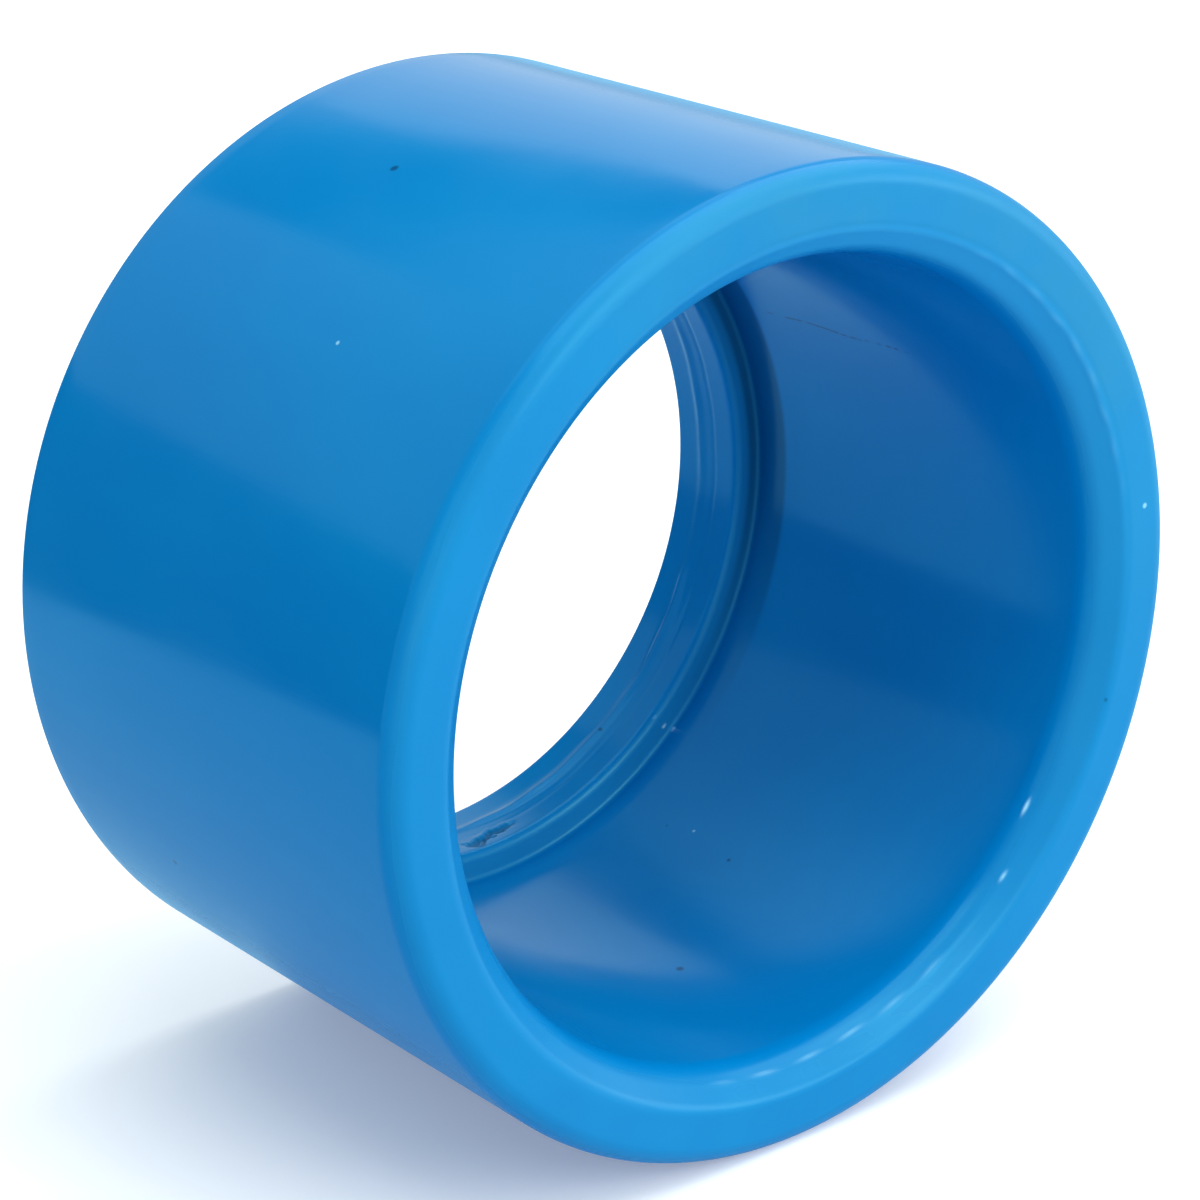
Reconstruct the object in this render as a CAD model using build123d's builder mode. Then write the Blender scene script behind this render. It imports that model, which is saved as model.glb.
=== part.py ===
"""A reducing bush for solvent-cemented pressure pipe: 50 mm spigot outside, 40 mm socket inside.

One moulded ring. It lies on its side: the axis is Y, the socket's mouth faces -Y and the lip end faces +Y.
The origin is on the axis, midway between the two end faces.
"""

import os

from build123d import *

# Driving dimensions, mm
spigot_diameter = 50.0  # outside, cemented into the larger fitting
pipe_diameter = 40.0  # outside of the smaller pipe, cemented into the socket
socket_slack = 0.2  # how much wider the socket is than its pipe, for the cement
flow_diameter = 36.3  # hole in the lip, as wide as the bore of the smaller pipe
lead_in_diameter = 43.8  # where the lead-in meets the mouth face
lead_in_depth = 1.6

mouth_rim_radius = 1.1  # outer edge at the mouth
end_rim_radius = 0.2  # both edges of the lip end
face_ridge_radius = 1.0  # between the mouth face and the lead-in
throat_radius = 2.2  # between the lead-in and the socket wall
stop_root_radius = 0.4  # corner between the socket and its stop
stop_edge_radius = 0.5  # edge between the stop and the flow hole


def insertion_depth(diameter):
    """Cemented length of a socket or spigot: half the pipe's diameter and 6 mm more."""
    return 0.5 * diameter + 6.0


spigot_length = insertion_depth(spigot_diameter)
socket_depth = insertion_depth(pipe_diameter)
socket_diameter = pipe_diameter + socket_slack

# Places along the axis
mouth_y = -spigot_length / 2
end_y = spigot_length / 2
throat_y = mouth_y + lead_in_depth
stop_y = mouth_y + socket_depth

# Corners of the wall's section, as (distance along the axis, radius), and how far each is rounded
rounding = {
    (mouth_y, spigot_diameter / 2): mouth_rim_radius,
    (end_y, spigot_diameter / 2): end_rim_radius,
    (end_y, flow_diameter / 2): end_rim_radius,
    (stop_y, flow_diameter / 2): stop_edge_radius,
    (stop_y, socket_diameter / 2): stop_root_radius,
    (throat_y, socket_diameter / 2): throat_radius,
    (mouth_y, lead_in_diameter / 2): face_ridge_radius,
}

with BuildPart() as bush_body:
    with BuildSketch(Plane.YZ) as wall_section:
        with BuildLine():
            Polyline(*rounding, close=True)
        make_face()
        for corner, radius in rounding.items():
            fillet(wall_section.vertices().sort_by_distance(corner)[0], radius)
    revolve(axis=Axis.Y)

bush_body.part.label = "bush_body"

os.makedirs("parts", exist_ok=True)
export_step(bush_body.part, "parts/bush_body.step")
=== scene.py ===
"""Looks of a blue PVC reducing bush that lies on its side: one moulded ring, a pale floor and soft light.

Units are metres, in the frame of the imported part: Y is the ring's axis, the socket's mouth faces -Y and
+Z is up. Angles round the axis are in radians, from +X towards +Z.
"""

import math

import bmesh
import bpy
import numpy as np
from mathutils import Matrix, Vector


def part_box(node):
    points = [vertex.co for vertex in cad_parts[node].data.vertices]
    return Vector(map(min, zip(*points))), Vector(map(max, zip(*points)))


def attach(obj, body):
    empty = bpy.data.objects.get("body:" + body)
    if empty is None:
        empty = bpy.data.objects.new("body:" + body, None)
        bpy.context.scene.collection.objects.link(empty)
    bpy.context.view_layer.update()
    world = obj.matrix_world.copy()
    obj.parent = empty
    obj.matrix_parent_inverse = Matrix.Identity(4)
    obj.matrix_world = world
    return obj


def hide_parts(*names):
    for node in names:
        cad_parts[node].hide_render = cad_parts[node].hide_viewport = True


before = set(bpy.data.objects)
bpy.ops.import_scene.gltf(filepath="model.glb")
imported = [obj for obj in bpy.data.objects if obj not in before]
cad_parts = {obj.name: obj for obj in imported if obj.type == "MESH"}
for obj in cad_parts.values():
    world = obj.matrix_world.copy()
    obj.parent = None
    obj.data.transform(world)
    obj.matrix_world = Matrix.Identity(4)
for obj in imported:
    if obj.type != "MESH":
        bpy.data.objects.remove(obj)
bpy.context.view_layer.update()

MM = 0.001

# Places along the axis and radii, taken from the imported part's box
low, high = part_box("bush_body")
mouth_y, end_y = low.y, high.y
spigot_radius = (high.z - low.z) / 2
floor_z = low.z

# The ring's section
socket_depth = 26.0 * MM
stop_y = mouth_y + socket_depth
socket_mouth_radius = 20.28 * MM  # the socket tapers a little towards its stop
socket_stop_radius = 19.8 * MM
flow_radius = 18.15 * MM
lead_in_radius = 21.9 * MM
lead_in_depth = 1.45 * MM
mouth_rim_radius = 1.15 * MM
end_rim_radius = 0.2 * MM
stop_edge_radius = 0.5 * MM
stop_root_radius = 0.3 * MM
throat_radius = 2.2 * MM
face_ridge_radius = 1.0 * MM

# Marks that the mould leaves in the flow hole: the core's flash line, its shallow seam, and the gate's scar
flash_y = stop_y + 2.92 * MM
flash_height = 0.1 * MM
flash_width = 0.28 * MM
seam_y = stop_y + 1.87 * MM
seam_depth = 0.045 * MM
seam_width = 0.13 * MM
gate_angle = math.radians(-86)
gate_y = stop_y + 1.3 * MM
gate_length = 3.3 * MM
gate_depth = 0.17 * MM
gate_width = 0.22 * MM

# Heights of the trimmed beads on the lead-in, and of the nicks
face_bead_height = 0.03 * MM
throat_bead_height = 0.05 * MM
nick_height = 0.05 * MM

# Handling nicks: angle in degrees, then distance behind the mouth, radius and length in mm
NICKS = [
    (-47.8, 26.05, 18.25, 0.35),
    (-47.8, 26.0, 19.2, 0.3),
    (-47.2, 25.8, 19.75, 0.25),
    (-35.4, 1.5, 20.5, 1.0),
    (-45.8, 0.95, 20.95, 0.8),
]

# Fineness of the mesh
ring_steps = 720
fine_arc = math.radians(12)
fine_step = math.radians(0.2)
section_step = 0.1 * MM
wall_step = 1.0 * MM


def rounded_corner(before, corner, after, radius):
    """Points of the arc that rounds one corner of the section, tangent to both of its sides."""
    into = (before - corner).normalized()
    out = (after - corner).normalized()
    half = into.angle(out) / 2
    reach = radius / math.tan(half)
    centre = corner + (into + out).normalized() * (radius / math.sin(half))
    start = corner + into * reach - centre
    end = corner + out * reach - centre
    turn = start.angle_signed(end)
    steps = max(6, math.ceil(abs(turn) * radius / section_step))
    points = []
    for i in range(steps + 1):
        angle = -turn * i / steps
        cos, sin = math.cos(angle), math.sin(angle)
        points.append(centre + Vector((start.x * cos - start.y * sin, start.x * sin + start.y * cos)))
    return points


def section_points():
    """The ring's section as a closed list of (y, radius), going round the wall once."""
    rounding = [
        (mouth_y, spigot_radius, mouth_rim_radius),
        (end_y, spigot_radius, end_rim_radius),
        (end_y, flow_radius, end_rim_radius),
        (stop_y, flow_radius, stop_edge_radius),
        (stop_y, socket_stop_radius, stop_root_radius),
        (mouth_y + lead_in_depth, socket_mouth_radius, throat_radius),
        (mouth_y, lead_in_radius, face_ridge_radius),
    ]
    corners = [Vector((y, r)) for y, r, _ in rounding]
    arcs = []
    for i, (_, _, radius) in enumerate(rounding):
        after = corners[(i + 1) % len(corners)]
        arcs.append(rounded_corner(corners[i - 1], corners[i], after, radius))
    points = []
    for arc, following in zip(arcs, arcs[1:] + arcs[:1]):
        points += arc
        start, end = arc[-1], following[0]
        length = (end - start).length
        steps = math.ceil(length / (section_step if length < 5 * MM else wall_step))
        points += [start.lerp(end, i / steps) for i in range(1, steps)]
    return np.array(points)


def section_normals(section):
    """Unit normals of the section, pointing out of the wall."""
    along = np.roll(section, -1, axis=0) - np.roll(section, 1, axis=0)
    along /= np.linalg.norm(along, axis=1, keepdims=True)
    return np.stack([-along[:, 1], along[:, 0]], axis=1)


def ring_angles():
    """Angles round the axis, closer together beside the gate's scar."""
    even = np.linspace(-math.pi, math.pi, ring_steps, endpoint=False)
    fine = np.arange(gate_angle - fine_arc, gate_angle + fine_arc, fine_step)
    before = even[even < fine[0] - fine_step / 2]
    after = even[even > fine[-1] + fine_step / 2]
    return np.concatenate([before, fine, after])


def bell(x, width):
    """1 at 0, falling away smoothly to either side."""
    return np.exp(-((x / width) ** 2))


def window(x, start, end, soft):
    """1 from start to end, fading to 0 over a soft edge."""
    rise = 1 / (1 + np.exp(np.clip(-4 * (x - start) / soft, -60, 60)))
    fall = 1 / (1 + np.exp(np.clip(4 * (x - end) / soft, -60, 60)))
    return rise * fall


def flow_hole_marks(y, radius, angle):
    """Flash line, seam and gate scar: how far each moves the hole's wall outwards, and where the scar is."""
    in_hole = (radius < flow_radius + 0.05 * MM) & (y > stop_y + 0.3 * MM)
    wander = 0.07 * MM * (np.sin(3 * angle + 1) + 0.6 * np.sin(11 * angle) + 0.3 * np.sin(29 * angle))
    height = flash_height * (1 + 0.2 * np.sin(9 * angle) + 0.15 * np.sin(31 * angle + 2))
    flash = height * bell(y - flash_y - wander, flash_width)
    seam_shows = 0.25 + 0.75 * window(angle, math.radians(-35), math.radians(200), math.radians(25))
    seam = -seam_depth * seam_shows * bell(y - seam_y - 0.7 * wander, seam_width)

    along = (angle - gate_angle) * flow_radius / MM
    jag = 0.12 * np.sin(2.3 * along + 1) + 0.06 * np.sin(5.9 * along) + 0.03 * np.sin(17 * along + 2)
    across = (y - gate_y) / MM - 0.13 * along - jag
    torn = window(along, -gate_length / MM / 2, gate_length / MM / 2, 0.5)
    width = gate_width / MM * (0.75 + 0.5 * np.sin(1.7 * along + 0.5) ** 2)
    scar = torn * bell(across, width)
    branch = window(along, -1.3, 0.3, 0.3) * bell(across + 0.32 + 0.2 * np.sin(5 * along), 0.1)
    burr = torn * bell(across - 0.34, 0.12)
    depth = gate_depth * (scar + 0.7 * branch)
    return in_hole * (flash + seam - depth + 0.3 * gate_depth * burr), in_hole * np.clip(scar + branch, 0, 1)


def ridge_marks(y, radius, angle):
    """Where the trimmed beads are: one on the lead-in's outer edge, one nearer the throat."""
    turn = np.degrees(angle)
    wave = 0.05 * MM * (np.sin(17 * angle) + np.sin(41 * angle + 1))
    face_bead = window(turn, 12, 66, 16) * (0.8 + 0.2 * np.sin(60 * angle))
    off_face = np.hypot(y - mouth_y - 0.12 * MM, radius - lead_in_radius + 0.15 * MM + wave)
    throat_bead = window(turn, -105, -58, 12) * (0.7 + 0.3 * np.sin(45 * angle + 1))
    off_throat = np.hypot(y - mouth_y - 0.93 * MM, radius - 20.95 * MM + 0.5 * wave)
    return face_bead * bell(off_face, 0.24 * MM), throat_bead * bell(off_throat, 0.15 * MM)


def nicks(y, radius, angle):
    """Where the small handling nicks are, which carry a painted glint."""
    painted_glints = np.zeros_like(y)
    for degrees, depth, mark_radius, length in NICKS:
        round_axis = (angle - math.radians(degrees)) * radius
        off = np.hypot(y - mouth_y - depth * MM, radius - mark_radius * MM)
        painted_glints = np.maximum(painted_glints, bell(off, 0.11 * MM) * bell(round_axis, 0.5 * length * MM))
    return painted_glints


def lathe(name):
    """The whole ring as one closed mesh, turned from its section, with its marks and their masks."""
    section = section_points()
    normals = section_normals(section)
    angles = ring_angles()
    y, angle = np.meshgrid(section[:, 0], angles, indexing="ij")
    radius = np.repeat(section[:, 1:2], len(angles), axis=1)
    in_hole, scar = flow_hole_marks(y, radius, angle)
    face_bead, throat_bead = ridge_marks(y, radius, angle)
    nicked = nicks(y, radius, angle)
    raised = in_hole + face_bead_height * face_bead + throat_bead_height * throat_bead + nick_height * nicked
    turned_y = y + raised * normals[:, :1]
    turned_radius = radius + raised * normals[:, 1:]
    verts = np.stack([turned_radius * np.cos(angle), turned_y, turned_radius * np.sin(angle)], axis=2)
    rows, columns = y.shape
    index = np.arange(rows * columns).reshape(rows, columns)
    beside, below = np.roll(index, -1, axis=1), np.roll(index, -1, axis=0)
    across = np.roll(below, -1, axis=1)
    faces = np.stack([index, beside, across, below], axis=2).reshape(-1, 4)
    mesh = bpy.data.meshes.new(name)
    mesh.from_pydata(verts.reshape(-1, 3).tolist(), [], faces.tolist())
    mesh.validate()
    mesh.shade_smooth()
    # Painted glints: a paler colour on the nicks and the trimmed beads
    painted_glints = np.clip(nicked + 0.25 * face_bead + 0.4 * throat_bead, 0, 1)
    for mask, values in (("painted_glints", painted_glints), ("scar", scar)):
        attribute = mesh.attributes.new(mask, "FLOAT", "POINT")
        attribute.data.foreach_set("value", values.astype(np.float32).ravel())
    piece = bpy.data.objects.new(name, mesh)
    bpy.context.scene.collection.objects.link(piece)
    even = piece.modifiers.new("even_normals", "WEIGHTED_NORMAL")
    even.weight = 100
    return piece


class Nodes:
    """Short calls for building a node tree."""

    def __init__(self, tree):
        self.tree = tree

    def put(self, socket, value):
        if isinstance(value, bpy.types.NodeSocket):
            self.tree.links.new(value, socket)
        else:
            socket.default_value = value

    def make(self, kind, output, **inputs):
        node = self.tree.nodes.new("ShaderNode" + kind)
        for key, value in inputs.items():
            if hasattr(node, key):
                setattr(node, key, value)
            else:
                self.put(node.inputs[key.replace("_", " ")], value)
        return node.outputs[output]

    def math(self, operation, *values):
        node = self.tree.nodes.new("ShaderNodeMath")
        node.operation = operation
        for socket, value in zip(node.inputs, values):
            self.put(socket, value)
        return node.outputs[0]

    def product(self, first, *others):
        """All the values multiplied together."""
        for value in others:
            first = self.math("MULTIPLY", first, value)
        return first

    def axes(self, vector):
        """The three parts of a vector."""
        node = self.tree.nodes.new("ShaderNodeSeparateXYZ")
        self.put(node.inputs[0], vector)
        return node.outputs

    def fade(self, value, start, end):
        """0 at start, 1 at end, smooth between."""
        node = self.tree.nodes.new("ShaderNodeMapRange")
        node.interpolation_type = "SMOOTHSTEP"
        for socket, given in zip(node.inputs, (value, start, end, 0.0, 1.0)):
            self.put(socket, given)
        return node.outputs[0]

    def mix(self, factor, first, second):
        node = self.tree.nodes.new("ShaderNodeMix")
        node.data_type = "RGBA"
        self.put(node.inputs["Factor"], factor)
        self.put(node.inputs["A"], first)
        self.put(node.inputs["B"], second)
        return node.outputs["Result"]

    def noise(self, place, scale, detail, stretch=None):
        if stretch:
            place = self.make("Mapping", 0, Vector=place, Scale=stretch)
        return self.make("TexNoise", 0, Vector=place, Scale=scale, Detail=detail, Roughness=0.5)

    def spot(self, place, centre, size):
        """1 at a point, 0 beyond its size."""
        node = self.tree.nodes.new("ShaderNodeVectorMath")
        node.operation = "DISTANCE"
        self.put(node.inputs[0], place)
        node.inputs[1].default_value = centre
        return self.fade(node.outputs["Value"], size, 0.4 * size)


def round_the_axis(degrees, y, radius):
    """A place given by its angle round the axis, y and radius in millimetres."""
    angle = math.radians(degrees)
    return radius * math.cos(angle) * MM, y * MM, radius * math.sin(angle) * MM


# Colours of the PVC, linear
PVC_BLUE = (0.0, 0.203, 0.515, 1)
PVC_LIGHT = (0.0, 0.23, 0.545, 1)
PVC_DEEP = (0.0, 0.18, 0.485, 1)
# Paler colour of the mouth face: haze, and painted sheen
HAZE_AND_SHEEN = (0.045, 0.26, 0.33, 1)
# Paler colour, painted light on the lead-in
LEAD_IN_LIGHT = (0.03, 0.33, 0.66, 1)
# Pale grains in the plastic, and the colour of the painted glints
PALE_GRAIN_AND_GLINT = (0.42, 0.78, 0.95, 1)
# The darkest colour: burnt specks, the drag line and the gate scar, and also painted shade beside the stop
# and in the scar
BURNT_AND_SHADE = (0.0, 0.035, 0.11, 1)
GLOSS_TINT = (0.26, 0.97, 1.0, 1)

# Burnt specks and pale grains in the plastic: angle, y, radius and size in mm
DARK_SPECKS = [
    (113.8, 3.7, 25.0, 0.3),
    (-54.4, 13.3, 18.15, 0.2),
    (-62.7, 5.8, 20.0, 0.17),
    (-63.2, 0.5, 20.0, 0.15),
    (-86.2, -4.4, 20.0, 0.3),
    (-17.3, -15.5, 21.8, 0.2),
    (205.0, 6.0, 25.0, 0.2),
    (18.0, -3.0, 25.0, 0.25),
]
PALE_GRAINS = [
    (9.3, -15.5, 23.2, 0.2),
    (136.5, -2.7, 25.0, 0.15),
    (-61.4, 4.0, 20.0, 0.15),
    (-39.9, -11.5, 20.0, 0.15),
    (70.0, 15.5, 21.0, 0.2),
]

# Drag line left on the socket's wall
drag_angle = math.radians(30.5)
drag_start_y = -4.4 * MM
drag_end_y = 7.4 * MM
drag_width = 0.1 * MM

# Fineness of the noises, in features to the metre
flow_scale = 70
patch_scale = 110
cloud_scale = 150
drag_wander_scale = 260
peel_scale = 850
scratch_scale = 1500

# Gloss
base_roughness = 0.14
patch_roughness = 0.06
haze_roughness = 0.8
scar_roughness = 0.25
relief_depth = 0.002 * MM


def painted_stop_shade(n, y, z, radius):
    """Where painted shade darkens the socket's wall beside its stop, least at the bottom."""
    before_stop = n.fade(y, stop_y - 2.45 * MM, stop_y - 2.0 * MM)
    before_end = n.fade(y, end_y - 2 * MM, stop_y)
    on_wall = n.product(n.fade(radius, 18.8 * MM, 19.3 * MM), n.fade(radius, 21 * MM, 20.5 * MM))
    return n.product(before_stop, before_end, on_wall, n.fade(z, -17 * MM, 3 * MM))


def drag_line(n, place, x, y, z, radius):
    """Where the thin broken drag line runs along the socket's wall."""
    across_x = n.math("MULTIPLY", x, math.sin(drag_angle))
    across_z = n.math("MULTIPLY", z, math.cos(drag_angle))
    sway = n.noise(place, drag_wander_scale, detail=3, stretch=(0.1, 1, 0.1))
    wander = n.math("MULTIPLY", n.math("SUBTRACT", sway, 0.5), 0.5 * MM)
    off_line = n.math("ABSOLUTE", n.math("ADD", n.math("SUBTRACT", across_x, across_z), wander))
    starts = n.fade(y, drag_start_y, drag_start_y + 1.4 * MM)
    ends = n.fade(y, drag_end_y, drag_end_y - 0.8 * MM)
    right_side = n.fade(x, 0.0, 1 * MM)
    on_wall = n.fade(radius, 20.9 * MM, 20.6 * MM)
    broken = n.fade(n.noise(place, scratch_scale, detail=1), 0.38, 0.55)
    return n.product(n.fade(off_line, drag_width, 0.03 * MM), starts, ends, right_side, on_wall, broken)


def blue_pvc():
    """Glossy moulded PVC: slow flow variation, haze and painted sheen on the mouth face, painted light on
    the lead-in, painted shade beside the stop and in the gate scar, specks, a drag line, scars, and painted
    glints on nicks and beads.
    """
    material = bpy.data.materials.new("blue_pvc")
    material.use_nodes = True
    tree = material.node_tree
    shader = tree.nodes["Principled BSDF"]
    n = Nodes(tree)
    place = n.make("TexCoord", "Object")
    x, y, z = n.axes(place)
    facing_y = n.axes(n.make("TexCoord", "Normal"))[1]
    radius = n.math("SQRT", n.math("ADD", n.math("MULTIPLY", x, x), n.math("MULTIPLY", z, z)))

    # Slow variation from the flow of the melt, drawn out along the axis
    flow = n.noise(place, flow_scale, detail=3, stretch=(1, 0.45, 1))
    colour = n.mix(n.fade(flow, 0.35, 0.7), PVC_DEEP, PVC_LIGHT)
    colour = n.mix(0.45, colour, PVC_BLUE)

    # Haze of handling on the mouth face, and painted sheen: the whole face paler, most at its upper right
    on_face = n.fade(n.math("MULTIPLY", facing_y, -1.0), 0.25, 0.8)
    upper_right = n.fade(n.math("ADD", n.math("MULTIPLY", x, 0.6), z), 4 * MM, 26 * MM)
    cloud = n.fade(n.noise(place, cloud_scale, detail=3), 0.25, 0.8)
    clouded = n.math("ADD", n.math("MULTIPLY", cloud, 0.2), 0.08)
    haze_and_sheen = n.product(on_face, n.math("ADD", n.product(upper_right, clouded), 0.17))
    colour = n.mix(haze_and_sheen, colour, HAZE_AND_SHEEN)

    # Painted light on the lead-in: paler, most at its upper right
    by_radius = n.fade(radius, 22.2 * MM, 21.8 * MM)
    by_depth = n.fade(y, mouth_y + 1.7 * MM, mouth_y + 0.7 * MM)
    colour = n.mix(n.product(by_radius, by_depth, upper_right, 0.6), colour, LEAD_IN_LIGHT)

    # Painted shade in the corner at the socket's stop, and the drag line
    colour = n.mix(n.product(painted_stop_shade(n, y, z, radius), 0.6), colour, BURNT_AND_SHADE)
    colour = n.mix(n.product(drag_line(n, place, x, y, z, radius), 0.65), colour, BURNT_AND_SHADE)

    for specks, tone, strength in ((DARK_SPECKS, BURNT_AND_SHADE, 0.75), (PALE_GRAINS, PALE_GRAIN_AND_GLINT, 0.6)):
        for degrees, speck_y, speck_radius, size in specks:
            spot = n.spot(place, round_the_axis(degrees, speck_y, speck_radius), size * MM)
            colour = n.mix(n.product(spot, strength), colour, tone)

    # Scar of the gate, and painted glints, a paler colour, on trimmed ridges and nicks
    scar = n.make("Attribute", "Fac", attribute_name="scar")
    painted_glints = n.make("Attribute", "Fac", attribute_name="painted_glints")
    # The scar is darkened partly as the torn plastic's own colour and partly as painted shade in its hollow
    colour = n.mix(n.product(scar, 0.6), colour, BURNT_AND_SHADE)
    colour = n.mix(n.fade(painted_glints, 0.05, 1.0), colour, PALE_GRAIN_AND_GLINT)
    n.put(shader.inputs["Base Color"], colour)

    # Gloss, duller in soft patches, on the hazy face and where the plastic is torn
    patches = n.fade(n.noise(place, patch_scale, detail=3), 0.3, 0.75)
    roughness = n.math("ADD", n.product(patches, patch_roughness), base_roughness)
    roughness = n.math("ADD", roughness, n.product(haze_and_sheen, haze_roughness))
    roughness = n.math("ADD", roughness, n.product(scar, scar_roughness))
    n.put(shader.inputs["Roughness"], roughness)

    # Fine orange peel everywhere, and drag lines along the axis inside the socket and hole
    peel = n.noise(place, peel_scale, detail=2)
    scratches = n.noise(place, scratch_scale, detail=2, stretch=(1, 0.03, 1))
    inside = n.fade(radius, 21 * MM, 20.5 * MM)
    bump = tree.nodes.new("ShaderNodeBump")
    bump.inputs["Strength"].default_value = 0.5
    bump.inputs["Distance"].default_value = relief_depth
    n.put(bump.inputs["Height"], n.math("ADD", n.product(peel, 3.0), n.product(scratches, inside, 1.5)))
    n.put(shader.inputs["Normal"], bump.outputs[0])

    shader.inputs["IOR"].default_value = 1.5
    shader.inputs["Specular IOR Level"].default_value = 0.4
    shader.inputs["Specular Tint"].default_value = GLOSS_TINT
    return material


def plain(name, colour, roughness=0.8, glow=0.0):
    """A plain material, for what stands round the ring."""
    material = bpy.data.materials.new(name)
    material.use_nodes = True
    shader = material.node_tree.nodes["Principled BSDF"]
    shader.inputs["Base Color"].default_value = (*colour, 1)
    shader.inputs["Roughness"].default_value = roughness
    shader.inputs["Emission Color"].default_value = (*colour, 1)
    shader.inputs["Emission Strength"].default_value = glow
    return material


def card(name, corners, material):
    """A flat card through four corners, which isn't part of the object."""
    mesh = bpy.data.meshes.new(name)
    mesh.from_pydata(corners, [], [(0, 1, 2, 3)])
    mesh.materials.append(material)
    piece = bpy.data.objects.new(name, mesh)
    bpy.context.scene.collection.objects.link(piece)
    return piece


def pale_floor():
    """A wide pale floor that the ring lies on: one for the eye, and a cooler one for light and gloss."""
    square = [(-1, -1), (1, -1), (1, 1), (-1, 1)]
    seen, felt = 0.6, 3.0
    pale = plain("pale_floor", (0.92, 0.92, 0.92), glow=0.2)
    cool = plain("floor_cool", (0.42, 0.76, 0.95), glow=0.16)
    floor = card("floor", [(x * seen, y * seen, floor_z) for x, y in square], pale)
    floor.visible_glossy = floor.visible_diffuse = False
    under = floor_z - 0.1 * MM
    bounce = card("floor_bounce", [(x * felt, y * felt, under) for x, y in square], cool)
    bounce.visible_camera = False


def backdrop():
    """A wide pale dome round everything, for the eye alone."""
    mesh = bpy.data.meshes.new("backdrop")
    dome = bmesh.new()
    bmesh.ops.create_icosphere(dome, subdivisions=4, radius=2.8)
    dome.to_mesh(mesh)
    dome.free()
    mesh.materials.append(plain("backdrop_white", (1.0, 1.0, 1.0), glow=1.0))
    piece = bpy.data.objects.new("backdrop", mesh)
    bpy.context.scene.collection.objects.link(piece)
    piece.visible_glossy = piece.visible_diffuse = piece.visible_shadow = False


# The camera: degrees, metres and a lens in mm; what it aims at is a little off the ring's centre
camera_azimuth = -39.5
camera_elevation = 20.7
camera_distance = 0.1773
camera_lens = 104.6
aim_right = -0.35 * MM
aim_up = -0.41 * MM


def direction(azimuth, elevation):
    """Unit vector from the ring towards a place round it. Azimuth 0 is in front of the mouth."""
    a, e = math.radians(azimuth), math.radians(elevation)
    return Vector((math.sin(a) * math.cos(e), -math.cos(a) * math.cos(e), math.sin(e)))


def softbox(name, azimuth, elevation, wide, tall, radiance, distance=1.0):
    """A soft light that faces the ring. Its size is the angle that the ring sees, in degrees."""
    width = 2 * distance * math.tan(math.radians(wide / 2))
    height = 2 * distance * math.tan(math.radians(tall / 2))
    light = bpy.data.lights.new(name, "AREA")
    light.shape = "RECTANGLE"
    light.size, light.size_y = width, height
    light.energy = radiance * width * height * math.pi
    lamp = bpy.data.objects.new(name, light)
    lamp.location = direction(azimuth, elevation) * distance
    lamp.rotation_mode = "QUATERNION"
    lamp.rotation_quaternion = lamp.location.to_track_quat("Z", "Y")
    bpy.context.scene.collection.objects.link(lamp)


def dark_flag(name, azimuth, elevation, wide, tall, distance):
    """A dark card that faces the ring and shows only in its gloss, sized in degrees as a softbox is."""
    middle = direction(azimuth, elevation) * distance
    side = Vector((0, 0, 1)).cross(middle).normalized()
    above = middle.cross(side).normalized() * distance * math.tan(math.radians(tall / 2))
    side *= distance * math.tan(math.radians(wide / 2))
    corners = [middle - side - above, middle + side - above, middle + side + above, middle - side + above]
    flag = card(name, corners, plain("flag_black", (0.01, 0.01, 0.01)))
    flag.visible_camera = flag.visible_diffuse = flag.visible_shadow = False


def studio():
    """Soft light from the front and above, panels behind for the upper outside, and two dark flags."""
    world = bpy.data.worlds.new("studio")
    world.use_nodes = True
    bpy.context.scene.world = world
    background = world.node_tree.nodes["Background"]
    background.inputs["Color"].default_value = (0.8, 0.97, 1, 1)
    background.inputs["Strength"].default_value = 0.57
    # Azimuth, elevation, width and height in degrees, then radiance
    softbox("key_right", 32, 50, 36, 30, 1.8)
    softbox("key_left", -35, 50, 36, 30, 0.4)
    softbox("low_left", -38, 6, 50, 14, 0.9)
    softbox("front_strip", 12, 27, 26, 26, 4.4)
    softbox("low_front", 48, 7, 60, 14, 2.5)
    softbox("near_right", 45, 15, 30, 30, 0.9, distance=0.3)
    softbox("right_high", 90, 50, 40, 30, 1.6)
    softbox("left_panel", -70, 28, 24, 24, 0.5)
    softbox("zenith", 0, 84, 50, 40, 2.2)
    softbox("back_overhead", 180, 62, 60, 24, 0.6)
    softbox("right_back_panel", 144, 20, 24, 32, 0.37)
    dark_flag("flag_left", -145, 2.8, 62.6, 29, distance=0.115)
    dark_flag("flag_high", 166, 39.5, 34, 9, distance=0.3)
    bpy.context.scene.view_settings.view_transform = "Standard"


def front_left_camera():
    """The camera, in front of the mouth to its left and a little above, with a long lens."""
    data = bpy.data.cameras.new("camera")
    data.sensor_width = 36
    data.lens = camera_lens
    data.clip_start = 0.01
    camera = bpy.data.objects.new("camera", data)
    back = direction(camera_azimuth, camera_elevation)
    centre = (Vector(low) + Vector(high)) / 2
    right = Vector((0, 0, 1)).cross(back).normalized()
    aim = centre + right * aim_right + back.cross(right) * aim_up
    camera.location = aim + back * camera_distance
    camera.rotation_mode = "QUATERNION"
    camera.rotation_quaternion = back.to_track_quat("Z", "Y")
    bpy.context.scene.collection.objects.link(camera)
    bpy.context.scene.camera = camera


bush = lathe("moulded_bush")
bush.data.materials.append(blue_pvc())
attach(bush, "root")
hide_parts("bush_body")
pale_floor()
backdrop()
studio()
front_left_camera()
